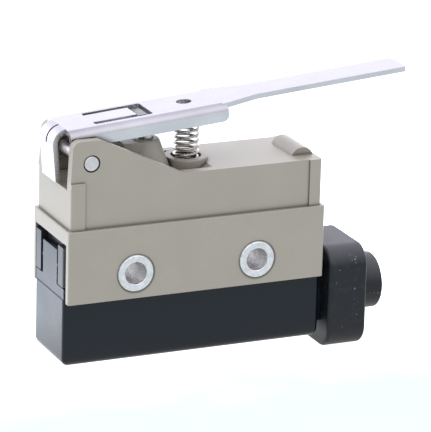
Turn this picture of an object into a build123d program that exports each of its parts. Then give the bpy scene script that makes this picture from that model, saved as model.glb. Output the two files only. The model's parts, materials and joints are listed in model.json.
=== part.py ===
from build123d import *
import os
from math import atan, cos, radians, sin, sqrt, tan

# Enclosed snap-action limit switch with a long hinge lever.
# Frame: +X along the case, from the lever hinge to the cable boot; +Z up, towards the lever;
# -Y is the front. The origin is midway between the two mounting holes, at mid depth.
# All sizes are in millimetres.

os.makedirs("parts", exist_ok=True)

# ---- mounting holes and eyelets
HOLE_PITCH = 25.4
EYELET_BORE_R = 2.15
EYELET_WALL = 0.55
EYELET_TUBE_R = EYELET_BORE_R + EYELET_WALL
EYELET_FLANGE_REACH = 0.95
EYELET_FLANGE_R = EYELET_TUBE_R + EYELET_FLANGE_REACH
EYELET_FLANGE_T = 0.45
EYELET_LIP_R = 0.35
EYELET_FIT = 0.02
EYELET_NOTCH_GAP = 0.15

# ---- case: upper body and the wider skirt below it
CASE_LEFT = 25.8
CASE_RIGHT = 26.45
CASE_W = 17.45
CASE_TOP = 18.7
SKIRT_OVERHANG = 0.65
SKIRT_STEP = 0.675
SKIRT_TOP = 9.4
SKIRT_BOTTOM = -5.1
SKIRT_WALL = 1.4
CASE_EDGE_R = 0.5
PANEL_DEPTH = 0.3
PANEL_INSET_LEFT = 2.9
PANEL_INSET_RIGHT = 2.55
CHAMBER_WALL = 2.3
CEILING_T = 3.9
CHAMBER_CEILING = CASE_TOP - CEILING_T
LEDGE_Z = 7.0

# ---- hinge ears and the slot between them
EAR_H = 8.1
EAR_TOP = CASE_TOP + EAR_H
EAR_TAPER = 0.45
EAR_CORNER_R = 1.6
EAR_FLAT_END = 5.9
EAR_SLOPE_END = 22.97
EAR_T = 2.225
SLOT_W = CASE_W - 2 * EAR_T
SLOT_DEPTH = 1.7
SLOT_FLOOR = CASE_TOP - SLOT_DEPTH
SLOT_RAMP_START = 23.8
SLOT_RAMP_R = 12.0

# ---- finger ridge on the top of the case
RIDGE_W = 4.4
RIDGE_H = 1.5
RIDGE_END = 4.0
RIDGE_LENGTH = CASE_W - 2 * RIDGE_END
RIDGE_INSET = 0.25

# ---- window for the cover's snap tab, in the hinge end of the skirt
WINDOW_TOP = 6.5

# ---- hinge pin
PIN_X = 4.2
PIN_RISE = 3.6
PIN_Z = CASE_TOP + PIN_RISE
PIN_R = 1.5
PIN_RING_W = 0.2
PIN_RING_R = PIN_R + PIN_RING_W
PIN_RING_DEPTH = 0.45
PIN_RUN = 0.05

# ---- lever, in its own flat frame: u along the plate from the pin, w above the pin
LEVER_T = 1.0
LEVER_REST_DEG = 4.9
LEVER_PLATE_H = 6.07
LEVER_SIDE_RUN = 0.3
LEVER_W = SLOT_W - 2 * LEVER_SIDE_RUN
LEVER_BEND_R = 1.5
LEVER_FRONT = 3.0
LEVER_CHANNEL = 29.5
LEVER_NECK = 7.1
LEVER_LENGTH = 69.0
LEVER_BLADE_W = 7.0
LEVER_LOBE_BAND = 1.5
LEVER_LOBE_R = PIN_R + LEVER_LOBE_BAND
LEVER_FLANGE_DROP = 3.4
LEVER_FLANGE_CORNER_R = 1.2
FLAP_OUT = 5.75
FLAP_DROP = 10.1
FLAP_BEND_R = 3.0
FLAP_SLIT_W = 0.55
TONGUE_START = 3.0
TONGUE_WINDOW_END = 15.0
TONGUE_WINDOW_W = 7.6
TONGUE_W = 4.8
TONGUE_CREASE = 12.0
TONGUE_SLOPE_RUN = 1.7
TONGUE_PAD_END = 15.8
TONGUE_PAD_H = 3.1
LEVER_HOLE_R = 1.5
LEVER_HOLE_U = 22.8

# ---- plunger under the tongue, in its guide tower
PLUNGER_X = 18.6
PLUNGER_R = 1.5
PLUNGER_DOME_EXTRA = 0.7
PLUNGER_DOME_R = PLUNGER_R + PLUNGER_DOME_EXTRA
PLUNGER_GAP = 0.03
PLUNGER_COLLAR_STEP = 1.0
PLUNGER_COLLAR_R = PLUNGER_R + PLUNGER_COLLAR_STEP
PLUNGER_COLLAR_T = 1.4
PLUNGER_COLLAR_GAP = 0.2
PLUNGER_BORE_R = 0.95
PLUNGER_BORE_RISE = 2.2
PLUNGER_BORE_TOP = CHAMBER_CEILING + PLUNGER_BORE_RISE
PLUNGER_RUN = 0.05
TOWER_FOOT_R = 5.15
TOWER_WALL = 1.1
TOWER_TOP_R = PLUNGER_R + TOWER_WALL
TOWER_H = 6.85
TOWER_TOP = SLOT_FLOOR + TOWER_H
TOWER_EDGE_R = 0.4
TOWER_RIB_LENGTH = 5.5
TOWER_RIB_W = 5.0
TOWER_RIB_DROP = 0.2
SEAL_BAND = 1.2
SEAL_R = PLUNGER_R + SEAL_BAND
SEAL_T = 1.4
RETAINER_T = 1.4

# ---- lever return spring, its boss and its well
SPRING_X = 27.1
SPRING_R = 2.33
SPRING_WIRE_R = 0.27
SPRING_PITCH = 1.13
SPRING_TOP_GAP = 0.3
BOSS_H = 0.92
BOSS_TOP = CASE_TOP + BOSS_H
BOSS_EDGE_R = 0.3
WELL_RUN = 0.4
WELL_R = SPRING_R + SPRING_WIRE_R + WELL_RUN
BOSS_WALL = 1.3
BOSS_R = WELL_R + BOSS_WALL
WELL_WALL = 1.0
WELL_DEPTH = 6.7
WELL_FLOOR = CASE_TOP - WELL_DEPTH
WELL_FLOOR_T = 1.4
SEAT_T = 0.6
SEAT_PEG_R = 1.6
SEAT_PEG_H = 2.0
SEAT_RUN = 0.1

# ---- inner switch base, a tray that carries the contacts
BASE_END_GAP = 0.2
BASE_TOP = 6.4
BASE_TRAY_FLOOR = 4.4
BASE_RIM = 1.4
BASE_SHOULDER = -2.15
BASE_BOTTOM = -6.0
POST_TOP = 5.7
POST_INNER = 4.5
BASE_STRAP_FIT = 0.05
BASE_TAB_GAP = 0.1

# ---- terminal cover
COVER_PROUD = 0.25
COVER_SIDE_GAP = 0.4
COVER_BOTTOM = -18.3
COVER_WALL = 1.2
COVER_EDGE_R = 0.8
COVER_FOOT_R = 1.7
COVER_RIM = -2.45
COVER_BAND_Z = -4.65
COVER_BAND_DEPTH = 0.12
TAB_HALF_W = 3.7
TAB_TOP = 4.4
TAB_T = 1.0
TAB_EDGE_R = 0.3
NUB_Z = 1.4
NUB_R = 0.45
GASKET_INSET = 0.3
GASKET_BAND = 0.9

# ---- cable boot on the cover's neck
BOOT_GAP = 1.3
BOOT_LENGTH = 8.3
BOOT_STEP = 0.1
BOOT_TOP = -0.2
BOOT_BOTTOM = -21.0
BOOT_CORNER_R = 4.3
BOOT_EDGE_R = 0.7
NOZZLE_Z = -10.4
CABLE_BORE_R = 3.9
NOZZLE_WALL = 1.7
NOZZLE_R = CABLE_BORE_R + NOZZLE_WALL
NOZZLE_LENGTH = 5.5
NOZZLE_EDGE_R = 0.4
NECK_R = 6.2
NECK_WALL = 1.8
NECK_BORE_R = NECK_R - NECK_WALL
NECK_REACH = 5.0
NECK_FLANGE_W = 12.0
NECK_FLANGE_BOTTOM = -15.8
CABLE_SEAL_T = 2.5

# ---- contacts and snap mechanism
STRAP_T = 0.6
STRAP_W = 4.0
PAD_HALF = 3.0
PAD_T = 0.8
COM_X = -19.5
NO_X = 0.0
NC_X = 19.2
CONTACT_X = 14.5
CONTACT_R = 1.3
CONTACT_T = 0.5
MOVING_CONTACT_T = 1.8
CONTACT_GAP = 1.2
CONTACT_REST_GAP = 0.03
RIVET_R = 0.7
BLADE_T = 0.2
BLADE_W = 6.0
BLADE_RAIL = 1.0
BLADE_PIVOT_X = -16.5
BLADE_ANCHOR_GAP = 0.15
BLADE_END_MARGIN = 1.7
BLADE_BRIDGE = 3.4
BUTTON_GAP = 0.02
BUTTON_TIP_R = 0.8
BUTTON_TIP_H = 0.9
BUTTON_FLANGE_R = 2.3
BUTTON_FLANGE_T = 0.8
BUTTON_STEM_RUN = 0.05
BUTTON_STEM_ENTRY = 0.6
OVERTRAVEL_R = 1.6
OVERTRAVEL_WIRE_R = 0.18
OVERTRAVEL_TURNS = 3.5
LEAF_W = 2.8
LEAF_RISE = 1.5
LEAF_START = -3.0
LEAF_END = 9.6
ANCHOR_W = 5.2
ANCHOR_T = 1.2
SCREW_R = 1.45
SCREW_DEPTH = 4.0
SCREW_HEAD_R = 2.4
SCREW_HEAD_T = 1.5
SCREW_SLOT_W = 0.6
SCREW_SLOT_DEPTH = 0.7
WASHER_T = 0.8
WASHER_HALF = 2.8
SCREW_CLEAR = 0.15

# ---- places worked out from the sizes above
HOLE_XS = (-HOLE_PITCH / 2, HOLE_PITCH / 2)
CASE_HALF = CASE_W / 2
SKIRT_HALF = CASE_HALF + SKIRT_STEP
SKIRT_W = 2 * SKIRT_HALF
FACE_HALF = CASE_HALF - PANEL_DEPTH
SKIRT_X = (-CASE_LEFT - SKIRT_OVERHANG, CASE_RIGHT + SKIRT_OVERHANG)
SKIRT_HOLLOW_HALF = SKIRT_HALF - SKIRT_WALL
SKIRT_HOLLOW_X = (SKIRT_X[0] + SKIRT_WALL, SKIRT_X[1] - SKIRT_WALL)
COVER_W = 2 * (SKIRT_HOLLOW_HALF - COVER_SIDE_GAP)
BASE_W = COVER_W
COVER_LEFT = CASE_LEFT + SKIRT_OVERHANG + COVER_PROUD
COVER_RIGHT = CASE_RIGHT + SKIRT_OVERHANG + COVER_PROUD
BOOT_W = SKIRT_W + 2 * BOOT_STEP
BUTTON_STEM_R = PLUNGER_BORE_R - BUTTON_STEM_RUN
CHAMBER_HALF = CASE_HALF - CHAMBER_WALL
CHAMBER_X = (-CASE_LEFT + CHAMBER_WALL, CASE_RIGHT - CHAMBER_WALL)
PIN_AT = (-CASE_LEFT + PIN_X, PIN_Z)
PLUNGER_AT = (-CASE_LEFT + PLUNGER_X, 0)
SPRING_AT = (-CASE_LEFT + SPRING_X, 0)
PLATE_UNDER = LEVER_PLATE_H - LEVER_T
NC_STRAP_UNDER = (
    BASE_TRAY_FLOOR + STRAP_T + CONTACT_T + CONTACT_GAP + MOVING_CONTACT_T
    + CONTACT_REST_GAP + CONTACT_T
)
MOVING_CONTACT_BASE = BASE_TRAY_FLOOR + STRAP_T + CONTACT_T + CONTACT_GAP
BLADE_UNDER = MOVING_CONTACT_BASE + (MOVING_CONTACT_T - BLADE_T) / 2
BLADE_OVER = BLADE_UNDER + BLADE_T
BUTTON_TIP = BLADE_OVER + BUTTON_GAP
BUTTON_FLANGE_TOP = BUTTON_TIP + BUTTON_TIP_H + BUTTON_FLANGE_T
COLLAR_TOP = CHAMBER_CEILING - PLUNGER_COLLAR_GAP
COLLAR_UNDER = COLLAR_TOP - PLUNGER_COLLAR_T
BUTTON_STEM_TOP = COLLAR_UNDER + BUTTON_STEM_ENTRY
SEAL_TOP = CHAMBER_CEILING + RETAINER_T + SEAL_T
PAD_UNDER = BASE_BOTTOM - PAD_T
GASKET_T = BASE_SHOULDER - COVER_RIM
NOTCH_R = EYELET_TUBE_R + EYELET_NOTCH_GAP
BOOT_X = (COVER_RIGHT + BOOT_GAP, COVER_RIGHT + BOOT_GAP + BOOT_LENGTH)
NECK_END = BOOT_X[0] + NECK_REACH
NECK_FLANGE_TOP = SKIRT_BOTTOM - BASE_END_GAP
SEAL_RING_END = NECK_END + CABLE_SEAL_T
NOZZLE_END = BOOT_X[1] + NOZZLE_LENGTH


def half(size):
    """The pair of limits of a size that is centred on zero."""
    return (-size / 2, size / 2)


def block(x, y, z):
    """Box between a low and a high limit on each axis."""
    return Pos(sum(x) / 2, sum(y) / 2, sum(z) / 2) * Box(x[1] - x[0], y[1] - y[0], z[1] - z[0])


def axis_plane(axis, start, across):
    """Plane whose normal is the axis, at start along it, centred on the two other coordinates."""
    if axis == "X":
        return Plane(origin=(start, across[0], across[1]), x_dir=(0, 1, 0), z_dir=(1, 0, 0))
    if axis == "Y":
        return Plane(origin=(across[0], start, across[1]), x_dir=(1, 0, 0), z_dir=(0, 1, 0))
    return Plane(origin=(across[0], across[1], start), x_dir=(1, 0, 0), z_dir=(0, 0, 1))


def rod(axis, across, radius, span):
    """Cylinder along an axis, from span[0] to span[1]."""
    bottom = (Align.CENTER, Align.CENTER, Align.MIN)
    return axis_plane(axis, span[0], across) * Cylinder(radius, span[1] - span[0], align=bottom)


def ring(axis, across, outer, inner, span):
    """Tube along an axis."""
    return rod(axis, across, outer, span) - rod(axis, across, inner, span)


def side_plane(y):
    """Plane seen from the front: its own x and y are X and Z, and it extrudes towards -Y."""
    return Plane(origin=(0, y, 0), x_dir=(1, 0, 0), z_dir=(0, -1, 0))


def side_prism(face, y):
    """Face drawn in X and Z, extruded between two depths."""
    return extrude(side_plane(y[1]) * face, amount=y[1] - y[0])


def outline(*points):
    """Closed polygon face."""
    return make_face(Polyline(*points, close=True))


def upright_edges(solid, radius):
    """Round the four edges of a box that stand along Z."""
    return fillet(solid.edges().filter_by(Axis.Z), radius)


def coil(across, radius, wire_r, z, turns):
    """Open coil spring between two heights."""
    rise = z[1] - z[0] - 2 * wire_r
    path = Helix(pitch=rise / turns, height=rise, radius=radius)
    section = Plane(origin=path @ 0, z_dir=path % 0) * Circle(wire_r)
    return Pos(across[0], across[1], z[0] + wire_r) * sweep(section, path=path)


# ---------------------------------------------------------------- case
def make_ears():
    """Two upright ears whose tops slope down to the case's top."""
    left = -CASE_LEFT
    face = outline(
        (left, CASE_TOP - 1), (left, CASE_TOP), (left + EAR_TAPER, EAR_TOP),
        (left + EAR_FLAT_END, EAR_TOP), (left + EAR_SLOPE_END, CASE_TOP),
        (left + EAR_SLOPE_END, CASE_TOP - 1),
    )
    corner = face.vertices().sort_by(Axis.Y)[-2:].sort_by(Axis.X)[0]
    face = fillet(corner, EAR_CORNER_R)
    near = side_prism(face, (-CASE_HALF, -SLOT_W / 2))
    far = side_prism(face, (SLOT_W / 2, CASE_HALF))
    return near + far


def make_slot():
    """Space between the ears, with a floor that sweeps up to the case's top."""
    start = -CASE_LEFT + SLOT_RAMP_START
    rise = CASE_TOP - SLOT_FLOOR
    turn = 2 * atan(sqrt(rise / (2 * SLOT_RAMP_R - rise)))
    middle = (start + SLOT_RAMP_R * sin(turn / 2), SLOT_FLOOR + SLOT_RAMP_R * (1 - cos(turn / 2)))
    end = (start + SLOT_RAMP_R * sin(turn), CASE_TOP)
    left = SKIRT_X[0] - 1
    above = EAR_TOP + 1
    edges = [
        Line((left, SLOT_FLOOR), (start, SLOT_FLOOR)),
        ThreePointArc((start, SLOT_FLOOR), middle, end),
        Polyline(end, (end[0], above), (left, above), (left, SLOT_FLOOR)),
    ]
    return side_prism(make_face(edges), half(SLOT_W))


def make_case():
    left, right = -CASE_LEFT, CASE_RIGHT
    upper = block((left, right), half(CASE_W), (SKIRT_TOP - 2, CASE_TOP))
    upper = upright_edges(upper, CASE_EDGE_R)
    skirt = upright_edges(block(SKIRT_X, half(SKIRT_W), (SKIRT_BOTTOM, SKIRT_TOP)), CASE_EDGE_R)
    skirt = fillet(skirt.faces().sort_by(Axis.Z)[-1].edges(), CASE_EDGE_R / 2)
    ridge_r = (RIDGE_W**2 / 4 + RIDGE_H**2) / (2 * RIDGE_H)
    ridge_at = (right - RIDGE_INSET - RIDGE_W / 2, CASE_TOP + RIDGE_H - ridge_r)
    case = upper + skirt + make_ears() + rod("Y", ridge_at, ridge_r, half(RIDGE_LENGTH))
    case -= make_slot()

    # recessed side panels, and ears flush with them
    panel_x = (left + PANEL_INSET_LEFT, right - PANEL_INSET_RIGHT)
    for side in (-1, 1):
        depth = sorted((side * FACE_HALF, side * (CASE_HALF + 1)))
        case -= block(panel_x, depth, (SKIRT_TOP, EAR_TOP + 1))
        case -= block((left - 1, right + 1), depth, (CASE_TOP, EAR_TOP + 1))

    # hollow: a wide space in the skirt and the contact chamber above it
    case -= block(SKIRT_HOLLOW_X, half(2 * SKIRT_HOLLOW_HALF), (SKIRT_BOTTOM - 1, LEDGE_Z))
    case -= block(CHAMBER_X, half(2 * CHAMBER_HALF), (LEDGE_Z - 1, CHAMBER_CEILING))
    window_x = (SKIRT_X[0] - 1, SKIRT_HOLLOW_X[0] + 1)
    case -= block(window_x, half(2 * SKIRT_HOLLOW_HALF), (SKIRT_BOTTOM - 1, WINDOW_TOP))

    # plunger tower, spring boss and the spring well that hangs into the chamber
    tower = Pos(*PLUNGER_AT, SLOT_FLOOR) * Cone(
        TOWER_FOOT_R, TOWER_TOP_R, TOWER_TOP - SLOT_FLOOR,
        align=(Align.CENTER, Align.CENTER, Align.MIN),
    )
    tower = fillet(tower.faces().sort_by(Axis.Z)[-1].edges(), TOWER_EDGE_R)
    rib_x = (PLUNGER_AT[0] - TOWER_RIB_LENGTH, PLUNGER_AT[0])
    tower += block(rib_x, half(TOWER_RIB_W), (SLOT_FLOOR - 1, TOWER_TOP - TOWER_RIB_DROP))
    boss = rod("Z", SPRING_AT, BOSS_R, (SLOT_FLOOR - 1, BOSS_TOP))
    boss = fillet(boss.faces().sort_by(Axis.Z)[-1].edges(), BOSS_EDGE_R)
    well_under = WELL_FLOOR - WELL_FLOOR_T
    case += tower + boss + rod("Z", SPRING_AT, WELL_R + WELL_WALL, (well_under, SLOT_FLOOR))
    case -= rod("Z", SPRING_AT, WELL_R, (WELL_FLOOR, BOSS_TOP + 1))
    case -= rod("Z", PLUNGER_AT, PLUNGER_R + PLUNGER_RUN, (CHAMBER_CEILING - 1, TOWER_TOP + 1))
    case -= rod("Z", PLUNGER_AT, SEAL_R, (CHAMBER_CEILING - 1, SEAL_TOP))

    # holes for the hinge pin and the mounting eyelets
    case -= rod("Y", PIN_AT, PIN_R, half(2 * CASE_W))
    for side in (-1, 1):
        depth = sorted((side * (FACE_HALF - PIN_RING_DEPTH), side * CASE_W))
        case -= rod("Y", PIN_AT, PIN_RING_R, depth)
    for x in HOLE_XS:
        case -= rod("Y", (x, 0), EYELET_TUBE_R + EYELET_FIT, half(2 * SKIRT_W))
    return case


def make_hinge_pin():
    pin = rod("Y", PIN_AT, PIN_R, half(2 * FACE_HALF))
    return chamfer(pin.edges().filter_by(GeomType.CIRCLE), PIN_R / 10)


def make_eyelet(x):
    """Rolled eyelet: a tube with a rounded flange on each side of the case, and rolled lips."""
    reach = SKIRT_HALF + EYELET_FLANGE_T
    body = rod("Y", (x, 0), EYELET_TUBE_R, half(2 * reach))
    for side in (-1, 1):
        flange = rod("Y", (x, 0), EYELET_FLANGE_R, sorted((side * SKIRT_HALF, side * reach)))
        outer_edge = flange.faces().sort_by(Axis.Y)[0 if side < 0 else -1].edges()
        body += fillet(outer_edge, EYELET_FLANGE_T * 0.8)
    body -= rod("Y", (x, 0), EYELET_BORE_R, half(2 * reach))
    lips = [
        edge for edge in body.edges().filter_by(GeomType.CIRCLE)
        if abs(edge.radius - EYELET_BORE_R) < 1e-6
    ]
    return fillet(lips, EYELET_LIP_R)


# ---------------------------------------------------------------- lever
def lever_flange_profile():
    """Side view of the lever's flanges, with a lobe round the hinge pin."""
    under = LEVER_PLATE_H - LEVER_FLANGE_DROP
    strip = outline(
        (-LEVER_FRONT, LEVER_PLATE_H), (LEVER_CHANNEL, LEVER_PLATE_H), (LEVER_CHANNEL, under),
        (LEVER_LOBE_R * 1.6, under), (LEVER_LOBE_R, 0), (-LEVER_FRONT, 0),
    )
    tail = strip.vertices().sort_by(Axis.X)[-2:].sort_by(Axis.Y)[0]
    return fillet(tail, LEVER_FLANGE_CORNER_R) + Circle(LEVER_LOBE_R)


def make_channel():
    """Inverted U of sheet over the pin, bent at its two long edges."""
    outer = RectangleRounded(LEVER_W, 4 * LEVER_PLATE_H, LEVER_BEND_R)
    inner = RectangleRounded(
        LEVER_W - 2 * LEVER_T, 4 * LEVER_PLATE_H - 2 * LEVER_T, LEVER_BEND_R - LEVER_T
    )
    across = axis_plane("X", -LEVER_FRONT, (0, -LEVER_PLATE_H))
    sheet = extrude(across * (outer - inner), amount=LEVER_FRONT + LEVER_CHANNEL)
    return sheet & side_prism(lever_flange_profile(), half(LEVER_W))


def make_blade():
    """Flat part of the lever, narrowing from the channel to the long blade."""
    neck_end = LEVER_CHANNEL + LEVER_NECK
    start = LEVER_CHANNEL - 1
    wide = LEVER_W / 2 - LEVER_BEND_R / 2
    thin = LEVER_BLADE_W / 2
    plan = outline(
        (start, -wide), (LEVER_CHANNEL, -wide), (neck_end, -thin), (LEVER_LENGTH, -thin),
        (LEVER_LENGTH, thin), (neck_end, thin), (LEVER_CHANNEL, wide), (start, wide),
    )
    tips = plan.vertices().sort_by(Axis.X)[-2:]
    return Pos(0, 0, PLATE_UNDER) * extrude(fillet(tips, LEVER_T / 2), amount=LEVER_T)


def make_flap():
    """Strip that bends down over the hinge end of the case."""
    top_corner = (-FLAP_OUT, LEVER_PLATE_H)
    face = outline(
        (-LEVER_FRONT + 1, LEVER_PLATE_H), top_corner, (-FLAP_OUT, LEVER_PLATE_H - FLAP_DROP),
        (-FLAP_OUT + LEVER_T, LEVER_PLATE_H - FLAP_DROP), (-FLAP_OUT + LEVER_T, PLATE_UNDER),
        (-LEVER_FRONT + 1, PLATE_UNDER),
    )
    outer = [v for v in face.vertices() if abs(v.X + FLAP_OUT) < 1e-6 and v.Y > PLATE_UNDER]
    face = fillet(outer, FLAP_BEND_R)
    inner = [
        v for v in face.vertices()
        if abs(v.X + FLAP_OUT - LEVER_T) < 1e-6 and abs(v.Y - PLATE_UNDER) < 1e-6
    ]
    face = fillet(inner, FLAP_BEND_R - LEVER_T)
    flap = side_prism(face, half(LEVER_BLADE_W))
    slit_x = (-FLAP_OUT - 1, -FLAP_OUT + FLAP_BEND_R)
    slit_z = (LEVER_PLATE_H - FLAP_BEND_R, LEVER_PLATE_H + 1)
    return flap - block(slit_x, half(FLAP_SLIT_W), slit_z)


def make_tongue():
    """Strip cut free in the plate and set down onto the plunger."""
    under = TONGUE_PAD_H
    slope_end = TONGUE_CREASE + TONGUE_SLOPE_RUN
    face = outline(
        (TONGUE_START - 0.5, LEVER_PLATE_H), (TONGUE_CREASE, LEVER_PLATE_H),
        (slope_end, under + LEVER_T), (TONGUE_PAD_END, under + LEVER_T), (TONGUE_PAD_END, under),
        (slope_end - LEVER_T / 3, under), (TONGUE_CREASE - LEVER_T / 3, PLATE_UNDER),
        (TONGUE_START - 0.5, PLATE_UNDER),
    )
    return side_prism(face, half(TONGUE_W))


def make_lever():
    lever = make_channel()
    window = block(
        (TONGUE_START, TONGUE_WINDOW_END), half(TONGUE_WINDOW_W), (PLATE_UNDER - 1, LEVER_PLATE_H + 1)
    )
    lever -= upright_edges(window, LEVER_T / 2)
    lever += make_blade()
    lever += make_flap()
    lever += make_tongue()
    lever -= rod("Z", (LEVER_HOLE_U, 0), LEVER_HOLE_R, (PLATE_UNDER - 1, LEVER_PLATE_H + 1))
    lever -= rod("Y", (0, 0), PIN_R + PIN_RUN, half(2 * LEVER_W))
    return Pos(PIN_AT[0], 0, PIN_AT[1]) * (Rot(0, -LEVER_REST_DEG, 0) * lever)


def plate_under_z(x):
    """Height of the underside of the lever's plate above a point of the case, at rest."""
    tilt = radians(LEVER_REST_DEG)
    return PIN_AT[1] + PLATE_UNDER / cos(tilt) + (x - PIN_AT[0]) * tan(tilt)


def make_lever_spring():
    low = WELL_FLOOR + SEAT_T
    high = plate_under_z(SPRING_AT[0]) - SPRING_TOP_GAP
    return coil(SPRING_AT, SPRING_R, SPRING_WIRE_R, (low, high), (high - low) / SPRING_PITCH)


def make_spring_seat():
    plate = rod("Z", SPRING_AT, WELL_R - SEAT_RUN, (WELL_FLOOR, WELL_FLOOR + SEAT_T))
    return plate + rod("Z", SPRING_AT, SEAT_PEG_R, (WELL_FLOOR, WELL_FLOOR + SEAT_PEG_H))


# ---------------------------------------------------------------- plunger and push button
def plunger_dome_centre():
    """Height of the dome's centre when the plunger just clears the tongue's pad at rest."""
    tilt = radians(LEVER_REST_DEG)
    reach = PLUNGER_AT[0] - PIN_AT[0]
    pad = TONGUE_PAD_H - PLUNGER_DOME_R - PLUNGER_GAP
    return PIN_AT[1] + (pad + reach * sin(tilt)) / cos(tilt)


def make_plunger():
    centre = plunger_dome_centre()
    top = centre + PLUNGER_DOME_R
    stem = rod("Z", PLUNGER_AT, PLUNGER_R, (COLLAR_UNDER, top))
    stem &= Pos(*PLUNGER_AT, centre) * Sphere(PLUNGER_DOME_R) + block(
        (PLUNGER_AT[0] - PLUNGER_R, PLUNGER_AT[0] + PLUNGER_R), half(2 * PLUNGER_R),
        (COLLAR_UNDER, centre),
    )
    collar = rod("Z", PLUNGER_AT, PLUNGER_COLLAR_R, (COLLAR_UNDER, COLLAR_TOP))
    return stem + collar - rod("Z", PLUNGER_AT, PLUNGER_BORE_R, (COLLAR_UNDER, PLUNGER_BORE_TOP))


def make_plunger_seal():
    inner = PLUNGER_R + PLUNGER_RUN
    return ring("Z", PLUNGER_AT, SEAL_R, inner, (CHAMBER_CEILING + RETAINER_T, SEAL_TOP))


def make_seal_retainer():
    span = (CHAMBER_CEILING, CHAMBER_CEILING + RETAINER_T)
    return ring("Z", PLUNGER_AT, SEAL_R, PLUNGER_R + 2 * PLUNGER_RUN, span)


def make_push_button():
    flange = (BUTTON_TIP + BUTTON_TIP_H, BUTTON_FLANGE_TOP)
    tip = rod("Z", PLUNGER_AT, BUTTON_TIP_R, (BUTTON_TIP, flange[0]))
    tip = fillet(tip.faces().sort_by(Axis.Z)[0].edges(), BUTTON_TIP_R / 2)
    stem = rod("Z", PLUNGER_AT, BUTTON_STEM_R, (flange[1], BUTTON_STEM_TOP))
    return tip + rod("Z", PLUNGER_AT, BUTTON_FLANGE_R, flange) + stem


def make_overtravel_spring():
    span = (BUTTON_FLANGE_TOP + BUTTON_GAP, COLLAR_UNDER - BUTTON_GAP)
    return coil(PLUNGER_AT, OVERTRAVEL_R, OVERTRAVEL_WIRE_R, span, OVERTRAVEL_TURNS)


# ---------------------------------------------------------------- inner base and contacts
def strap_slot_x(pad_x, side):
    """X limits of the upright strap at one side of a terminal pad."""
    edge = pad_x + side * PAD_HALF
    return sorted((edge, edge - side * STRAP_T))


COM_STRAP_X = strap_slot_x(COM_X, -1)
NO_STRAP_X = strap_slot_x(NO_X, 1)
NC_STRAP_X = strap_slot_x(NC_X, 1)


def make_base():
    x0 = SKIRT_HOLLOW_X[0] - BASE_END_GAP
    x1 = SKIRT_HOLLOW_X[1] - BASE_END_GAP
    base = block((x0, x1), half(BASE_W), (BASE_SHOULDER, BASE_TOP))
    plug_half = COVER_W / 2 - COVER_WALL - BASE_END_GAP / 2
    base += block((x0 + BASE_RIM, x1 - BASE_RIM), half(2 * plug_half), (BASE_BOTTOM, BASE_SHOULDER))
    tray_x = (CHAMBER_X[0] + BASE_END_GAP, CHAMBER_X[1] - BASE_END_GAP)
    base -= block(tray_x, half(BASE_W - 2 * BASE_RIM), (BASE_TRAY_FLOOR, BASE_TOP + 1))
    for side in (-1, 1):
        depth = sorted((side * POST_INNER, side * BASE_W / 2))
        post = block((-COVER_LEFT, x0), depth, (BASE_SHOULDER, POST_TOP))
        outer = [e for e in post.edges().filter_by(Axis.Z).sort_by(Axis.X)[:2]
                 if abs(e.center().Y) > POST_INNER + 1]
        base += fillet(outer, COVER_EDGE_R)
    for x in HOLE_XS:
        base -= rod("Y", (x, 0), EYELET_TUBE_R + EYELET_FIT, half(2 * BASE_W))
    for strap_x in (COM_STRAP_X, NO_STRAP_X, NC_STRAP_X):
        slot_x = (strap_x[0] - BASE_STRAP_FIT, strap_x[1] + BASE_STRAP_FIT)
        base -= block(slot_x, half(STRAP_W + 2 * BASE_STRAP_FIT), (BASE_BOTTOM - 1, BASE_TOP))
    for x in (COM_X, NO_X, NC_X):
        base -= rod("Z", (x, 0), SCREW_R, (BASE_BOTTOM - 1, BASE_BOTTOM + SCREW_DEPTH))
    return base


def terminal_pad(x):
    """Flat screw pad under the base."""
    pad = block((x - PAD_HALF, x + PAD_HALF), half(2 * PAD_HALF), (PAD_UNDER, BASE_BOTTOM))
    return pad - rod("Z", (x, 0), SCREW_R + SCREW_CLEAR, (PAD_UNDER - 1, BASE_BOTTOM + 1))


def make_terminal_com():
    top = BLADE_UNDER
    strap = block(COM_STRAP_X, half(STRAP_W), (PAD_UNDER, top))
    arm_end = BLADE_PIVOT_X - BLADE_ANCHOR_GAP
    arm = block((COM_STRAP_X[0], arm_end), half(STRAP_W), (top - STRAP_T, top))
    rivet_x = (COM_STRAP_X[1] + arm_end) / 2
    return terminal_pad(COM_X) + strap + arm - rod("Z", (rivet_x, 0), RIVET_R, (top - 1, top + 1))


def make_terminal_no():
    low = BASE_TRAY_FLOOR
    strap = block(NO_STRAP_X, half(STRAP_W), (PAD_UNDER, low + STRAP_T))
    arm_x = (NO_STRAP_X[0], CONTACT_X + CONTACT_R)
    arm = block(arm_x, half(STRAP_W), (low, low + STRAP_T))
    hole = rod("Z", (CONTACT_X, 0), RIVET_R, (low - 1, low + 1))
    return terminal_pad(NO_X) + strap + arm - hole


def make_terminal_nc():
    low = NC_STRAP_UNDER
    strap = block(NC_STRAP_X, half(STRAP_W), (PAD_UNDER, low + STRAP_T))
    arm_x = (CONTACT_X - CONTACT_R, NC_STRAP_X[1])
    arm = block(arm_x, half(STRAP_W), (low, low + STRAP_T))
    hole = rod("Z", (CONTACT_X, 0), RIVET_R, (low - 1, low + 1))
    return terminal_pad(NC_X) + strap + arm - hole


def make_contact_no():
    low = BASE_TRAY_FLOOR
    head = rod("Z", (CONTACT_X, 0), CONTACT_R, (low + STRAP_T, low + STRAP_T + CONTACT_T))
    return head + rod("Z", (CONTACT_X, 0), RIVET_R, (low, low + STRAP_T))


def make_contact_nc():
    low = NC_STRAP_UNDER
    head = rod("Z", (CONTACT_X, 0), CONTACT_R, (low - CONTACT_T, low))
    return head + rod("Z", (CONTACT_X, 0), RIVET_R, (low, low + STRAP_T))


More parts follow.
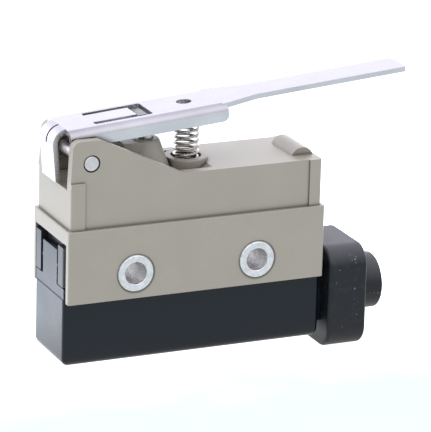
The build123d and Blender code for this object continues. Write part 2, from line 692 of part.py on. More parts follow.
def make_moving_contact():
    top = MOVING_CONTACT_BASE + MOVING_CONTACT_T
    lower = rod("Z", (CONTACT_X, 0), CONTACT_R, (MOVING_CONTACT_BASE, BLADE_UNDER))
    upper = rod("Z", (CONTACT_X, 0), CONTACT_R, (BLADE_OVER, top))
    return lower + rod("Z", (CONTACT_X, 0), RIVET_R, (BLADE_UNDER, BLADE_OVER)) + upper


def make_snap_blade():
    """Flat spring: two rails from the pivot to the moving contact, with a bridge to push on."""
    blade_x = (BLADE_PIVOT_X, CONTACT_X + BLADE_END_MARGIN)
    blade = block(blade_x, half(BLADE_W), (BLADE_UNDER, BLADE_OVER))
    inner = half(BLADE_W - 2 * BLADE_RAIL)
    bridge = (PLUNGER_AT[0] - BLADE_BRIDGE / 2, PLUNGER_AT[0] + BLADE_BRIDGE / 2)
    span = (BLADE_UNDER - 1, BLADE_OVER + 1)
    blade -= block((BLADE_PIVOT_X + BLADE_BRIDGE, bridge[0]), inner, span)
    blade -= block((bridge[1], LEAF_END), inner, span)
    return blade - rod("Z", (CONTACT_X, 0), RIVET_R, span)


def make_tension_leaf():
    """Bowed leaf between the blade's rails that makes the contact snap over."""
    middle = (LEAF_START + LEAF_END) / 2
    low = BLADE_UNDER
    high = low + LEAF_RISE

    def arc(lift):
        return ThreePointArc((LEAF_START, low + lift), (middle, high + lift), (LEAF_END, low + lift))

    edges = [
        arc(0), Line((LEAF_END, low), (LEAF_END, low + BLADE_T)),
        arc(BLADE_T), Line((LEAF_START, low), (LEAF_START, low + BLADE_T)),
    ]
    return side_prism(make_face(edges), half(LEAF_W))


def make_anchor_block():
    """Clamp that holds the blade's end, with a notch that the end rocks in."""
    arm_end = BLADE_PIVOT_X - BLADE_ANCHOR_GAP
    low = BLADE_UNDER
    anchor = block((COM_STRAP_X[1], arm_end), half(ANCHOR_W), (low, low + ANCHOR_T))
    rivet_x = (COM_STRAP_X[1] + arm_end) / 2
    return anchor - rod("Z", (rivet_x, 0), RIVET_R, (low - 1, low + ANCHOR_T + 1))


def make_anchor_rivet():
    arm_end = BLADE_PIVOT_X - BLADE_ANCHOR_GAP
    at = ((COM_STRAP_X[1] + arm_end) / 2, 0)
    low, high = BLADE_UNDER - STRAP_T, BLADE_UNDER + ANCHOR_T
    shank = rod("Z", at, RIVET_R, (low, high))
    head = rod("Z", at, 2 * RIVET_R, (high, high + STRAP_T))
    return shank + fillet(head.faces().sort_by(Axis.Z)[-1].edges(), STRAP_T / 2)


def make_terminal_screws():
    """Three slotted pan-head screws, driven from below."""
    head_top = PAD_UNDER - WASHER_T
    screws = []
    for x in (COM_X, NO_X, NC_X):
        head = rod("Z", (x, 0), SCREW_HEAD_R, (head_top - SCREW_HEAD_T, head_top))
        head = fillet(head.faces().sort_by(Axis.Z)[0].edges(), SCREW_HEAD_T / 3)
        under = head_top - SCREW_HEAD_T
        head -= block((x - SCREW_HEAD_R, x + SCREW_HEAD_R), half(SCREW_SLOT_W),
                      (under, under + SCREW_SLOT_DEPTH))
        shank = rod("Z", (x, 0), SCREW_R, (head_top, BASE_BOTTOM + SCREW_DEPTH))
        screws.append(head + shank)
    return screws


def make_terminal_washers():
    """Three square wire-clamping washers."""
    washers = []
    for x in (COM_X, NO_X, NC_X):
        plate = block((x - WASHER_HALF, x + WASHER_HALF), half(2 * WASHER_HALF),
                      (PAD_UNDER - WASHER_T, PAD_UNDER))
        hole = rod("Z", (x, 0), SCREW_R + SCREW_CLEAR, (PAD_UNDER - WASHER_T - 1, PAD_UNDER + 1))
        washers.append(plate - hole)
    return washers


def make_base_gasket():
    """Flat ring between the base's rim and the ledge in the case."""
    outer_x = (SKIRT_HOLLOW_X[0] + BASE_END_GAP, SKIRT_HOLLOW_X[1] - BASE_END_GAP)
    outer = block(outer_x, half(BASE_W), (BASE_TOP, LEDGE_Z))
    inner_x = (CHAMBER_X[0] + BASE_END_GAP, CHAMBER_X[1] - BASE_END_GAP)
    return outer - block(inner_x, half(BASE_W - 2 * BASE_RIM), (BASE_TOP - 1, LEDGE_Z + 1))


# ---------------------------------------------------------------- terminal cover
def make_cover():
    shell_x = (-COVER_LEFT, COVER_RIGHT)
    shell = block(shell_x, half(COVER_W), (COVER_BOTTOM, COVER_RIM))
    shell = upright_edges(shell, COVER_EDGE_R)
    shell = fillet(shell.faces().sort_by(Axis.Z)[0].edges(), COVER_FOOT_R)
    inner_x = (shell_x[0] + COVER_WALL, shell_x[1] - COVER_WALL)
    hollow = block(inner_x, half(COVER_W - 2 * COVER_WALL), (COVER_BOTTOM + COVER_WALL, COVER_RIM + 1))
    shell -= upright_edges(hollow, COVER_EDGE_R / 2)

    # room for the eyelets, which pass just above the rim
    for x in HOLE_XS:
        shell -= rod("Y", (x, 0), NOTCH_R + GASKET_T, half(2 * COVER_W))

    # the skirt's far end wall stands inside the cover's line there, so the cover is lower
    end_wall_x = (SKIRT_HOLLOW_X[1] - BASE_END_GAP, COVER_RIGHT + 1)
    shell -= block(end_wall_x, half(SKIRT_W), (SKIRT_BOTTOM - BASE_END_GAP, COVER_RIM + 1))

    # end face of the snap tab, set back a little above the band line
    tab_x = (-COVER_LEFT, -COVER_LEFT + TAB_T)
    tab = block(tab_x, half(2 * TAB_HALF_W), (COVER_RIM - 1, TAB_TOP))
    tab_top = tab.faces().sort_by(Axis.Z)[-1].edges().sort_by(Axis.X)[0]
    shell += fillet(tab_top, TAB_EDGE_R)
    for side in (-1, 1):
        nub_at = (tab_x[0] + TAB_T / 2, side * TAB_HALF_W)
        shell += Pos(nub_at[0], nub_at[1], NUB_Z) * Sphere(NUB_R)
    band_x = (-COVER_LEFT - 1, -COVER_LEFT + COVER_BAND_DEPTH)
    shell -= block(band_x, half(SKIRT_W), (COVER_BAND_Z, TAB_TOP + 1))

    # neck for the boot, with the cable opening through it
    flange_z = (NECK_FLANGE_BOTTOM, NECK_FLANGE_TOP)
    neck = block((COVER_RIGHT - COVER_WALL, BOOT_X[0]), half(NECK_FLANGE_W), flange_z)
    shell += fillet(neck.edges().filter_by(Axis.X), COVER_EDGE_R)
    shell += rod("X", (0, NOZZLE_Z), NECK_R, (BOOT_X[0] - BOOT_GAP / 2, NECK_END))
    return shell - rod("X", (0, NOZZLE_Z), NECK_BORE_R, (COVER_RIGHT - 2 * COVER_WALL, NECK_END + 1))


def make_cover_gasket():
    """Thin seal between the cover's rim and the base's shoulder, arched under the eyelets."""
    x = (-COVER_LEFT + TAB_T + BASE_TAB_GAP, SKIRT_HOLLOW_X[1] - BASE_END_GAP - GASKET_INSET)
    outer = block(x, half(COVER_W - 2 * GASKET_INSET), (COVER_RIM, BASE_SHOULDER))
    inner_x = (x[0] + GASKET_BAND, x[1] + 1)
    inner = block(inner_x, half(COVER_W - 2 * COVER_WALL), (COVER_BOTTOM, BASE_SHOULDER + 1))
    gasket = outer
    width = half(COVER_W - 2 * GASKET_INSET)
    for hole_x in HOLE_XS:
        arch = ring("Y", (hole_x, 0), NOTCH_R + GASKET_T, NOTCH_R, width)
        below = block((hole_x - EYELET_FLANGE_R, hole_x + EYELET_FLANGE_R), width,
                      (COVER_BOTTOM, BASE_SHOULDER))
        gasket += arch & below
        gasket -= rod("Y", (hole_x, 0), NOTCH_R, half(2 * COVER_W))
    return gasket - inner


# ---------------------------------------------------------------- cable boot
def make_boot():
    height = BOOT_TOP - BOOT_BOTTOM
    middle = (0, (BOOT_TOP + BOOT_BOTTOM) / 2)
    body = extrude(
        axis_plane("X", BOOT_X[0], middle) * RectangleRounded(BOOT_W, height, BOOT_CORNER_R),
        amount=BOOT_LENGTH,
    )
    ends = body.faces().filter_by(Plane.YZ)
    body = fillet([edge for face in ends for edge in face.edges()], BOOT_EDGE_R)
    nozzle = rod("X", (0, NOZZLE_Z), NOZZLE_R, (BOOT_X[1] - 1, NOZZLE_END))
    nozzle = fillet(nozzle.faces().sort_by(Axis.X)[-1].edges(), NOZZLE_EDGE_R)
    boot = body + nozzle
    boot -= rod("X", (0, NOZZLE_Z), NECK_R, (BOOT_X[0] - 1, SEAL_RING_END))
    return boot - rod("X", (0, NOZZLE_Z), CABLE_BORE_R, (BOOT_X[0], NOZZLE_END + 1))


def make_cable_seal():
    return ring("X", (0, NOZZLE_Z), NECK_R, CABLE_BORE_R, (NECK_END, SEAL_RING_END))


PIECES = {
    "case": make_case,
    "hinge_pin": make_hinge_pin,
    "mounting_eyelet_left": lambda: make_eyelet(HOLE_XS[0]),
    "mounting_eyelet_right": lambda: make_eyelet(HOLE_XS[1]),
    "hinge_lever": make_lever,
    "lever_spring": make_lever_spring,
    "spring_seat": make_spring_seat,
    "plunger": make_plunger,
    "plunger_seal": make_plunger_seal,
    "seal_retainer": make_seal_retainer,
    "push_button": make_push_button,
    "overtravel_spring": make_overtravel_spring,
    "switch_base": make_base,
    "base_gasket": make_base_gasket,
    "terminal_com": make_terminal_com,
    "terminal_no": make_terminal_no,
    "terminal_nc": make_terminal_nc,
    "contact_no": make_contact_no,
    "contact_nc": make_contact_nc,
    "moving_contact": make_moving_contact,
    "snap_blade": make_snap_blade,
    "tension_leaf": make_tension_leaf,
    "anchor_block": make_anchor_block,
    "anchor_rivet": make_anchor_rivet,
    "terminal_screws": make_terminal_screws,
    "terminal_washers": make_terminal_washers,
    "terminal_cover": make_cover,
    "cover_gasket": make_cover_gasket,
    "cable_boot": make_boot,
    "cable_seal": make_cable_seal,
}

for name, make in PIECES.items():
    piece = make()
    solids = piece if isinstance(piece, list) else piece.solids()
    export_step(Compound(children=list(solids)), f"parts/{name}.step")
    print(name, len(solids), round(sum(solid.volume for solid in solids), 2))
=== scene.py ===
import json
import math

import bmesh
import bpy
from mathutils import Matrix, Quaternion, Vector


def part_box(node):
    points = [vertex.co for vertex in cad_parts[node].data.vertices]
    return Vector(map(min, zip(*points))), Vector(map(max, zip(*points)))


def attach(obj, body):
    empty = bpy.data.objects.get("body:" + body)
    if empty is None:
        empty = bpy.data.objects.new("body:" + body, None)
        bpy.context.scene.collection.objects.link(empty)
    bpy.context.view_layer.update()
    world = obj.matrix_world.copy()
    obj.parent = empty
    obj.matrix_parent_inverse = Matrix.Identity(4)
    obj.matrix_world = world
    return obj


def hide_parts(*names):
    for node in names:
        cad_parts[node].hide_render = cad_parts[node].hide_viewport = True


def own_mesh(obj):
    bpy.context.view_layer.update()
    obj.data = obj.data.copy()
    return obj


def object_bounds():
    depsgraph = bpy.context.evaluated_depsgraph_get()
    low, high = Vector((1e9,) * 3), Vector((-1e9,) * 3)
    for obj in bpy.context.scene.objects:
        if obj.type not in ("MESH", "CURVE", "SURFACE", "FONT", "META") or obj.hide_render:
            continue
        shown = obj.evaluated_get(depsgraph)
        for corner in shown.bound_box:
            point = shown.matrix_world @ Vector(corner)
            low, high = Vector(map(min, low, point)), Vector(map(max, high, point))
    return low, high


# Looks of a hinge-lever limit switch: materials, wound springs, studio and camera round the CAD frame.
# Lengths are in metres; MM turns millimetres into them.

MM = 0.001

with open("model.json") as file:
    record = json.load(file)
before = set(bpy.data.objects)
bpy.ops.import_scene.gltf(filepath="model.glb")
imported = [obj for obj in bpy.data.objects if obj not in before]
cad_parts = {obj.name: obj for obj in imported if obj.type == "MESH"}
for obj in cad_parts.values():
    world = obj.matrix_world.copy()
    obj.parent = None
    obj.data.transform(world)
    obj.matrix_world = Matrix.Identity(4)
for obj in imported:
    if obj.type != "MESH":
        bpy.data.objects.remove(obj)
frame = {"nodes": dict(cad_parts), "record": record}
bpy.context.view_layer.update()
cad_low, cad_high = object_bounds()

# ---- camera, round the frame's origin (angles in degrees, distance in metres, lens in millimetres)
CAMERA_AZIMUTH = -23.63
CAMERA_ELEVATION = 18.29
CAMERA_DISTANCE = 0.6388
CAMERA_LENS = 273.2
AIM_AZIMUTH = -0.685
AIM_ELEVATION = -0.635
CAMERA_ROLL = 1.54

# ---- glowing floor: its strength in front of, behind and far behind the object
FLOOR_FRONT = 1.12
FLOOR_BACK = 3.5
FLOOR_FAR = 1.8
# The spans of Y over which it brightens behind the object, falls off far behind, and whitens in front.
FLOOR_TURN = (-8 * MM, 30 * MM)
FLOOR_FALL = (45 * MM, 120 * MM)
FLOOR_FADE = (-30 * MM, -10 * MM)
FLOOR_WANDER = 10 * MM
WANDER_SIZE_MM = 24.0
FLOOR_FRONT_TINT = (0.815, 0.93, 1.0)
FLOOR_BACK_TINT = (0.82, 0.89, 1.0)
FLOOR_GAP = 0.02 * MM
FLOOR_REACH = 1.5

# ---- surround: its strength level with the object, overhead, and extra low down behind the object
SKY_LEVEL = 0.85
SKY_TOP = 1.65
SKY_BACK = 1.85
SKY_TINT = (0.94, 0.955, 1.06)

# ---- painted shadow line round each eyelet: its shift and half-widths in millimetres, and its darkest factor
EYELET_SHADOW_SHIFT = 0.14
EYELET_SHADOW_WIDTHS = (0.12, 0.42)
EYELET_SHADOW_DARKNESS = 0.34

# ---- eyelet bore: where it turns from bore to flange, as a distance from mid depth in millimetres
BORE_END = (9.5, 9.76)

# ---- shared shader settings
WHITE = (1.0, 1.0, 1.0)
BEVEL_SAMPLES = 4
NOOK_SAMPLES = 8

# ---- springs
SPRING_WIRE_R = 0.27 * MM
SPRING_TURNS = 14.6
OVERTRAVEL_WIRE_R = 0.18 * MM
OVERTRAVEL_TURNS = 4.5
CLOSED_TURNS = 1.0
CLOSED_PITCH = 2.05
WIRE_STEPS = 48
WIRE_SIDES = 14


# ---------------------------------------------------------------- shader building
def add(tree, kind, inputs=None, **settings):
    """A shader node with its settings and inputs; an input is a value or another node's socket."""
    made = tree.nodes.new(kind)
    for key, value in settings.items():
        setattr(made, key, value)
    for key, value in (inputs or {}).items():
        if isinstance(value, bpy.types.NodeSocket):
            tree.links.new(value, made.inputs[key])
        else:
            made.inputs[key].default_value = value
    return made


def colour(rgb):
    """The four numbers that a colour socket takes."""
    return (*rgb, 1.0)


def millimetres(tree, stretch=(1, 1, 1)):
    """Coordinates on the piece in millimetres, stretched along each axis."""
    place = add(tree, "ShaderNodeTexCoord").outputs["Object"]
    scale = tuple(1 / (MM * s) for s in stretch)
    return add(tree, "ShaderNodeMapping", {"Vector": place, "Scale": scale}).outputs[0]


def noise(tree, where, size, detail=2.0, roughness=0.5, distortion=0.0):
    """Noise whose lumps are about size millimetres across."""
    made = add(tree, "ShaderNodeTexNoise", {
        "Vector": where, "Scale": 1 / size, "Detail": detail,
        "Roughness": roughness, "Distortion": distortion,
    })
    return made.outputs[0]


def remap(tree, value, source, target):
    """Value moved from one range to another, and held inside it."""
    made = add(tree, "ShaderNodeMapRange", {
        "Value": value, "From Min": source[0], "From Max": source[1],
        "To Min": target[0], "To Max": target[1],
    })
    return made.outputs[0]


def blend(tree, factor, low, high):
    """Colour between low and high."""
    made = add(tree, "ShaderNodeMix", {0: factor}, data_type="RGBA")
    for index, value in ((6, low), (7, high)):
        if isinstance(value, bpy.types.NodeSocket):
            tree.links.new(value, made.inputs[index])
        else:
            made.inputs[index].default_value = colour(value)
    return made.outputs[2]


def maths(tree, operation, a, b):
    """Result of a sum on two numbers or sockets."""
    return add(tree, "ShaderNodeMath", {0: a, 1: b}, operation=operation).outputs[0]


def absolute(tree, value):
    return add(tree, "ShaderNodeMath", {0: value}, operation="ABSOLUTE").outputs[0]


def upward(tree):
    """How far the surface faces up, 1 on a level top."""
    facing = add(tree, "ShaderNodeNewGeometry").outputs["Normal"]
    return add(tree, "ShaderNodeSeparateXYZ", {0: facing}).outputs["Z"]


def bump(tree, height, depth, normal=None):
    """Normal of a relief of the given depth in millimetres."""
    inputs = {"Height": height, "Distance": depth * MM, "Strength": 1.0}
    if normal is not None:
        inputs["Normal"] = normal
    return add(tree, "ShaderNodeBump", inputs).outputs[0]


def soft_edges(tree, radius):
    """Normal rounded off at edges by a radius in millimetres, and how near an edge is, 0 to 1."""
    rounded = add(tree, "ShaderNodeBevel", {"Radius": radius * MM}, samples=BEVEL_SAMPLES).outputs[0]
    true = add(tree, "ShaderNodeNewGeometry").outputs["Normal"]
    facing = add(tree, "ShaderNodeVectorMath", {0: rounded, 1: true}, operation="DOT_PRODUCT")
    return rounded, remap(tree, facing.outputs["Value"], (1.0, 0.93), (0.0, 1.0))


def nooks(tree, reach, darkest, span=(0.15, 0.85)):
    """Painted shade: a factor that falls from 1 in the open to darkest in slots, bores and corners."""
    found = add(tree, "ShaderNodeAmbientOcclusion", {"Distance": reach * MM}, samples=NOOK_SAMPLES)
    return remap(tree, found.outputs["AO"], span, (darkest, 1.0))


def dim(tree, tone, factor):
    """Colour made darker by a factor."""
    made = add(tree, "ShaderNodeVectorMath", {0: tone}, operation="SCALE")
    tree.links.new(factor, made.inputs["Scale"])
    return made.outputs[0]


def new_material(name, **sockets):
    """A material with one Principled shader, its sockets set as given."""
    material = bpy.data.materials.new(name)
    material.use_nodes = True
    tree = material.node_tree
    shader = tree.nodes["Principled BSDF"]
    for key, value in sockets.items():
        shader.inputs[key.replace("_", " ")].default_value = value
    return material, tree, shader


def join(tree, shader, **sockets):
    """Links sockets to the shader's inputs."""
    for key, socket in sockets.items():
        tree.links.new(socket, shader.inputs[key.replace("_", " ")])


def joined(shader, name):
    """The socket that one of the shader's inputs is linked to."""
    return shader.inputs[name].links[0].from_socket


# ---------------------------------------------------------------- plastics and rubbers
def moulded(name, base, roughness, grain, depth, edge, wave=(14.0, 0.0), highlight_lift=0.1, ior=1.46):
    """Moulded plastic: fine eroded-tool grain, slow sink waves, edges a little glossier and lightened as a
    painted highlight.
    """
    material, tree, shader = new_material(name, IOR=ior)
    where = millimetres(tree)
    cloud = noise(tree, where, 9.0, 3.0)
    fleck = noise(tree, where, grain * 2.5, 1.0)
    dark, light = (tuple(c * k for c in base) for k in (0.97, 1.03))
    tone = blend(tree, remap(tree, cloud, (0.3, 0.7), (0, 1)), dark, light)
    flecked = tuple(c * 0.93 for c in base)
    tone = blend(tree, remap(tree, fleck, (0.35, 0.75), (0, 0.35)), tone, flecked)
    rounded, near_edge = soft_edges(tree, edge)
    # Painted highlight: the base colour lightened along the edges.
    edge_highlight = tuple(min(1, c * (1 + highlight_lift)) for c in base)
    tone = blend(tree, maths(tree, "MULTIPLY", near_edge, 0.6), tone, edge_highlight)
    gloss = remap(tree, cloud, (0.3, 0.7), (roughness - 0.03, roughness + 0.03))
    gloss = maths(tree, "SUBTRACT", gloss, maths(tree, "MULTIPLY", near_edge, 0.06))
    relief = bump(tree, noise(tree, where, grain, 2.0, 0.6), depth, rounded)
    if wave[1]:
        relief = bump(tree, noise(tree, where, wave[0], 1.0), wave[1], relief)
    join(tree, shader, Base_Color=tone, Roughness=gloss, Normal=relief)
    return material, tree, shader


def eyelet_shadow_line(tree, where, node):
    """Painted shadow: a factor that darkens a thin line on the case round an eyelet's flange, heavier
    below it.
    """
    low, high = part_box(node)
    radius = (high.x - low.x) / 2 / MM
    centre = ((low + high) / 2 / MM) + Vector((EYELET_SHADOW_SHIFT, 0, -EYELET_SHADOW_SHIFT))
    away = add(tree, "ShaderNodeVectorMath", {0: where, 1: tuple(centre)}, operation="SUBTRACT")
    flat = add(tree, "ShaderNodeVectorMath", {0: away.outputs[0], 1: (1, 0, 1)}, operation="MULTIPLY")
    reach = add(tree, "ShaderNodeVectorMath", {0: flat.outputs[0]}, operation="LENGTH").outputs["Value"]
    off_line = absolute(tree, maths(tree, "SUBTRACT", reach, radius))
    return remap(tree, off_line, EYELET_SHADOW_WIDTHS, (EYELET_SHADOW_DARKNESS, 1.0))


def beige_case(name):
    """Matte moulded beige, darkened by painted shade round the eyelets, the pin and the wells."""
    material, tree, shader = moulded(
        name, (0.326, 0.293, 0.232), roughness=0.40, grain=0.16, depth=0.006, edge=0.14, ior=1.52)
    plain = joined(shader, "Base Color")
    # Painted shade: the colour darkened in nooks, under the lever, and along a painted shadow line round
    # each eyelet.
    close_up = nooks(tree, 0.9, 0.42, (0.45, 0.9))
    painted_shade = maths(tree, "MULTIPLY", close_up, nooks(tree, 4.0, 0.62))
    for node in ("mounting_eyelet_left", "mounting_eyelet_right"):
        painted_shade = maths(tree, "MULTIPLY", painted_shade, eyelet_shadow_line(tree, millimetres(tree), node))
    join(tree, shader, Base_Color=dim(tree, plain, painted_shade))
    return material


def black_cover(name):
    return moulded(name, (0.002, 0.004, 0.008), roughness=0.28, grain=0.12, depth=0.003, edge=0.16,
                   wave=(10.0, 0.12), highlight_lift=0.5, ior=1.38)[0]


def black_plastic(name):
    return moulded(name, (0.012, 0.012, 0.014), roughness=0.34, grain=0.12, depth=0.003, edge=0.12,
                   wave=(9.0, 0.03), highlight_lift=0.5)[0]


def red_plastic(name):
    return moulded(name, (0.45, 0.05, 0.03), roughness=0.25, grain=0.10, depth=0.002, edge=0.08)[0]


def boot_rubber(name):
    """Matte moulded rubber with a little lint and dust on it."""
    material, tree, shader = moulded(
        name, (0.003, 0.004, 0.006), roughness=0.50, grain=0.22, depth=0.012, edge=0.2,
        wave=(8.0, 0.03), highlight_lift=0.4, ior=1.41)
    where = millimetres(tree)
    cells = add(tree, "ShaderNodeTexVoronoi", {"Vector": where, "Scale": 1.3}, feature="F1")
    size = noise(tree, where, 2.4, 1.0)
    reach = remap(tree, size, (0.50, 0.72), (0.0, 0.24))
    speck = add(tree, "ShaderNodeMath", {0: cells.outputs["Distance"], 1: reach}, operation="LESS_THAN")
    film = remap(tree, noise(tree, where, 1.6, 6.0, 0.7), (0.5, 0.9), (0.0, 0.10))
    plain = joined(shader, "Base Color")
    settled = maths(tree, "ADD", film, remap(tree, upward(tree), (0.2, 1.0), (0.0, 0.35)))
    dusty = blend(tree, settled, plain, (0.20, 0.20, 0.21))
    spotted = blend(tree, maths(tree, "MULTIPLY", speck.outputs[0], 0.55), dusty, (0.30, 0.30, 0.31))
    join(tree, shader, Base_Color=spotted)
    return material


def seal_rubber(name):
    return moulded(name, (0.012, 0.012, 0.012), roughness=0.62, grain=0.18, depth=0.01, edge=0.1,
                   highlight_lift=0.3)[0]


# ---------------------------------------------------------------- metals
def metal(name, base, roughness, grain, depth, edge, dark, patch, nook=0.15):
    """Metal with a rolled, drawn or brushed grain and slow patches, a painted highlight along its edges
    and painted shade in its nooks.
    """
    material, tree, shader = new_material(name, Metallic=1.0)
    rounded, near_edge = soft_edges(tree, edge)
    where = millimetres(tree)
    lines = noise(tree, millimetres(tree, grain), 1.0, 3.0, 0.6)
    slow = noise(tree, where, patch, 2.0)
    dull = tuple(c * dark for c in base)
    tone = blend(tree, remap(tree, slow, (0.35, 0.65), (0, 1)), dull, base)
    tone = blend(tree, remap(tree, lines, (0.3, 0.7), (0, 0.3)), tone, dull)
    # Painted highlight: the colour lightened along the edges.
    bright = tuple(min(1, c * 1.1) for c in base)
    tone = blend(tree, maths(tree, "MULTIPLY", near_edge, 0.5), tone, bright)
    lined = remap(tree, lines, (0.3, 0.7), (roughness * 0.8, roughness * 1.15))
    gloss = maths(tree, "ADD", lined, remap(tree, slow, (0.3, 0.7), (0.0, roughness * 0.25)))
    # Painted shade: the colour darkened in slots, bores and corners.
    tone = dim(tree, tone, nooks(tree, 1.6, nook))
    join(tree, shader, Base_Color=tone, Roughness=gloss, Normal=bump(tree, lines, depth, rounded))
    return material, tree, shader


def lever_steel(name):
    """Rolled stainless sheet, its fine lines running along the lever, its top faces painted a little
    darker and lavender as painted shade.
    """
    material, tree, shader = metal(
        name, (0.60, 0.575, 0.58), roughness=0.24, grain=(6.0, 0.12, 0.12), depth=0.0009, edge=0.16,
        dark=0.86, patch=8.0, nook=0.04)
    plain = joined(shader, "Base Color")
    # Painted shade: faces turned upwards are tinted darker.
    level = remap(tree, upward(tree), (0.4, 0.95), (0.0, 1.0))
    shade = blend(tree, level, WHITE, (0.62, 0.615, 0.66))
    film = noise(tree, millimetres(tree, (3.0, 1.0, 1.0)), 4.0, 2.0)
    mottled = remap(tree, film, (0.35, 0.65), (0.97, 1.03))
    toned = add(tree, "ShaderNodeVectorMath", {0: plain, 1: shade}, operation="MULTIPLY").outputs[0]
    join(tree, shader, Base_Color=dim(tree, toned, mottled))
    return material


def steel_pin(name):
    return metal(name, (0.66, 0.62, 0.59), roughness=0.28, grain=(0.3, 0.5, 0.3), depth=0.002,
                 edge=0.12, dark=0.82, patch=1.2)[0]


def eyelet_metal(name):
    """Nickel plate over drawn brass: bright rolled flanges, a duller grainy bore."""
    material, tree, shader = metal(
        name, (0.74, 0.72, 0.71), roughness=0.16, grain=(0.4, 0.4, 0.4), depth=0.003, edge=0.1,
        dark=0.80, patch=1.1, nook=0.90)
    where = millimetres(tree)
    rolled = bump(tree, noise(tree, where, 1.1, 2.0), 0.04, joined(shader, "Normal"))
    pitted = bump(tree, noise(tree, where, 0.22, 3.0, 0.7), 0.03, rolled)
    depth = add(tree, "ShaderNodeSeparateXYZ", {0: where}).outputs["Y"]
    inside = remap(tree, absolute(tree, depth), BORE_END, (1.0, 0.0))
    bright = joined(shader, "Base Color")
    speckle = remap(tree, noise(tree, where, 0.3, 3.0, 0.7), (0.35, 0.65), (0.85, 1.65))
    spotted = maths(tree, "MULTIPLY", inside, maths(tree, "SUBTRACT", speckle, 1.0))
    shade = maths(tree, "ADD", spotted, 1.0)
    smooth = joined(shader, "Roughness")
    rough = maths(tree, "ADD", smooth, maths(tree, "MULTIPLY", inside, 0.35))
    join(tree, shader, Base_Color=dim(tree, bright, shade), Roughness=rough, Normal=pitted)
    return material


def spring_steel(name):
    return metal(name, (0.60, 0.56, 0.50), roughness=0.17, grain=(0.5, 0.5, 0.12), depth=0.001,
                 edge=0.05, dark=0.70, patch=0.8, nook=0.08)[0]


def brass_strip(name):
    return metal(name, (0.80, 0.60, 0.30), roughness=0.26, grain=(4.0, 0.12, 0.12), depth=0.001,
                 edge=0.08, dark=0.85, patch=2.0)[0]


def contact_silver(name):
    return metal(name, (0.86, 0.84, 0.80), roughness=0.22, grain=(0.2, 0.2, 0.2), depth=0.002,
                 edge=0.06, dark=0.85, patch=0.8)[0]


def blade_copper(name):
    return metal(name, (0.80, 0.50, 0.30), roughness=0.24, grain=(4.0, 0.12, 0.12), depth=0.001,
                 edge=0.05, dark=0.85, patch=2.5)[0]


def screw_steel(name):
    return metal(name, (0.70, 0.70, 0.66), roughness=0.26, grain=(0.3, 0.3, 0.3), depth=0.003,
                 edge=0.1, dark=0.85, patch=1.0)[0]


FINISHES = {
    "beige_case": beige_case, "steel_pin": steel_pin, "eyelet_metal": eyelet_metal,
    "lever_steel": lever_steel, "spring_steel": spring_steel, "black_plastic": black_plastic,
    "black_cover": black_cover, "boot_rubber": boot_rubber, "seal_rubber": seal_rubber,
    "red_plastic": red_plastic, "brass_strip": brass_strip, "contact_silver": contact_silver,
    "blade_copper": blade_copper, "screw_steel": screw_steel,
}


def dress(piece, material):
    piece.data.materials.clear()
    piece.data.materials.append(material)


def paint_frame():
    """Every CAD node gets the finish of its slot in the record."""
    made = {slot: finish(slot) for slot, finish in FINISHES.items()}
    for part in frame["record"]["subparts"]:
        dress(frame["nodes"][part["node"]], made[part["material_slot"]])
    return made


# ---------------------------------------------------------------- wound springs
def coil_height(turn, turns, low, high, wire_r):
    """Height of the wire's middle: one closed turn at each end, open turns between."""
    closed = CLOSED_PITCH * wire_r * CLOSED_TURNS
    open_rise = (high - low - 2 * closed) / (turns - 2 * CLOSED_TURNS)
    start = min(turn, CLOSED_TURNS) / CLOSED_TURNS * closed
    finish_turn = max(0.0, turn - (turns - CLOSED_TURNS))
    between = min(max(turn - CLOSED_TURNS, 0.0), turns - 2 * CLOSED_TURNS)
    return low + start + between * open_rise + finish_turn / CLOSED_TURNS * closed


def wound_wire(name, box, wire_r, turns):
    """Mesh of a round wire wound inside a box."""
    low, high = box
    centre = (low + high) / 2
    radius = (high.x - low.x) / 2 - wire_r
    shape = bmesh.new()
    rings = []
    steps = round(turns * WIRE_STEPS)
    for step in range(steps + 1):
        turn = turns * step / steps
        angle = 2 * math.pi * turn
        z = coil_height(turn, turns, low.z + wire_r, high.z - wire_r, wire_r)
        ring = []
        for side in range(WIRE_SIDES):
            around = 2 * math.pi * side / WIRE_SIDES
            reach = radius + wire_r * math.cos(around)
            at = (centre.x + reach * math.cos(angle), centre.y + reach * math.sin(angle),
                  z + wire_r * math.sin(around))
            ring.append(shape.verts.new(at))
        rings.append(ring)
    for first, second in zip(rings, rings[1:]):
        for side in range(WIRE_SIDES):
            after = (side + 1) % WIRE_SIDES
            shape.faces.new((first[side], second[side], second[after], first[after]))
    shape.faces.new(rings[0])
    shape.faces.new(reversed(rings[-1]))
    bmesh.ops.recalc_face_normals(shape, faces=shape.faces)
    for face in shape.faces:
        face.smooth = True
    mesh = bpy.data.meshes.new(name)
    shape.to_mesh(mesh)
    shape.free()
    piece = bpy.data.objects.new(name, mesh)
    bpy.context.scene.collection.objects.link(piece)
    return piece


def wind_spring(node, body, wire_r, turns):
    """Stands a wound wire in a CAD spring's place, hung on the given body's empty."""
    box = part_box(node)
    piece = wound_wire(node + "_wire", box, wire_r, turns)
    dress(piece, finishes["spring_steel"])
    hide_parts(node)
    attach(piece, body)
    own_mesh(piece)


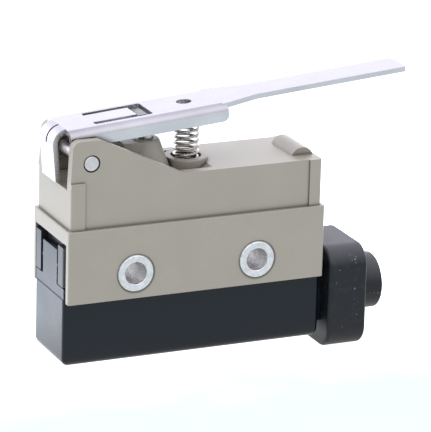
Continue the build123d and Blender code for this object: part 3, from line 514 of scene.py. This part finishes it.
# ---------------------------------------------------------------- studio
def make_floor():
    """Glowing white table, brighter behind the object than in front of it."""
    mesh = bpy.data.meshes.new("floor")
    shape = bmesh.new()
    level = cad_low.z - FLOOR_GAP
    corners = [(-1, -1), (1, -1), (1, 1), (-1, 1)]
    shape.faces.new([shape.verts.new((x * FLOOR_REACH, y * FLOOR_REACH, level)) for x, y in corners])
    shape.to_mesh(mesh)
    shape.free()
    floor = bpy.data.objects.new("floor", mesh)
    bpy.context.scene.collection.objects.link(floor)
    material, tree, shader = new_material("table", Base_Color=colour((0.02, 0.02, 0.02)), Roughness=1.0)
    place = add(tree, "ShaderNodeTexCoord").outputs["Object"]
    y = add(tree, "ShaderNodeSeparateXYZ", {0: place}).outputs["Y"]
    lumps = noise(tree, millimetres(tree), WANDER_SIZE_MM, 3.0)
    wander = remap(tree, lumps, (0.3, 0.7), (-FLOOR_WANDER, FLOOR_WANDER))
    behind = remap(tree, y, FLOOR_TURN, (0.0, 1.0))
    rise = remap(tree, behind, (0.0, 1.0), (FLOOR_FRONT, FLOOR_BACK))
    fall = remap(tree, y, FLOOR_FALL, (0.0, FLOOR_BACK - FLOOR_FAR))
    glow = maths(tree, "SUBTRACT", rise, fall)
    fade = remap(tree, maths(tree, "ADD", y, wander), FLOOR_FADE, (0.0, 1.0))
    near = blend(tree, fade, FLOOR_FRONT_TINT, WHITE)
    tint = blend(tree, behind, near, FLOOR_BACK_TINT)
    join(tree, shader, Emission_Strength=glow, Emission_Color=tint)
    shader.inputs["Specular IOR Level"].default_value = 0.0
    dress(floor, material)


def make_surround():
    """White room: brightest low down behind the object, dim overhead."""
    world = bpy.data.worlds.new("surround")
    world.use_nodes = True
    bpy.context.scene.world = world
    tree = world.node_tree
    background = tree.nodes["Background"]
    way = add(tree, "ShaderNodeTexCoord").outputs["Generated"]
    axes = add(tree, "ShaderNodeSeparateXYZ", {0: way}).outputs
    even = remap(tree, axes["Z"], (0.0, 0.8), (SKY_LEVEL, SKY_TOP))
    behind = remap(tree, axes["Y"], (0.0, 0.9), (0.0, SKY_BACK))
    low_down = remap(tree, axes["Z"], (0.1, 0.75), (1.0, 0.0))
    light = maths(tree, "ADD", even, maths(tree, "MULTIPLY", behind, low_down))
    background.inputs["Color"].default_value = colour(SKY_TINT)
    tree.links.new(light, background.inputs["Strength"])


def outward(azimuth, elevation):
    """Unit vector from the origin; azimuth 0 is in front, towards -Y."""
    a, e = math.radians(azimuth), math.radians(elevation)
    return Vector((math.sin(a) * math.cos(e), -math.cos(a) * math.cos(e), math.sin(e)))


def make_camera():
    data = bpy.data.cameras.new("camera")
    data.lens = CAMERA_LENS
    data.clip_start, data.clip_end = 0.01, 10
    camera = bpy.data.objects.new("camera", data)
    bpy.context.scene.collection.objects.link(camera)
    camera.location = outward(CAMERA_AZIMUTH, CAMERA_ELEVATION) * CAMERA_DISTANCE
    aim = -outward(CAMERA_AZIMUTH + AIM_AZIMUTH, CAMERA_ELEVATION + AIM_ELEVATION)
    camera.rotation_mode = "QUATERNION"
    roll = Quaternion((0, 0, 1), math.radians(CAMERA_ROLL))
    camera.rotation_quaternion = aim.to_track_quat("-Z", "Y") @ roll
    bpy.context.scene.camera = camera


finishes = paint_frame()
wind_spring("lever_spring", "switch_body", SPRING_WIRE_R, SPRING_TURNS)
wind_spring("overtravel_spring", "plunger", OVERTRAVEL_WIRE_R, OVERTRAVEL_TURNS)
make_floor()
make_surround()
make_camera()
bpy.context.scene.view_settings.view_transform = "Standard"

bpy.context.view_layer.update()
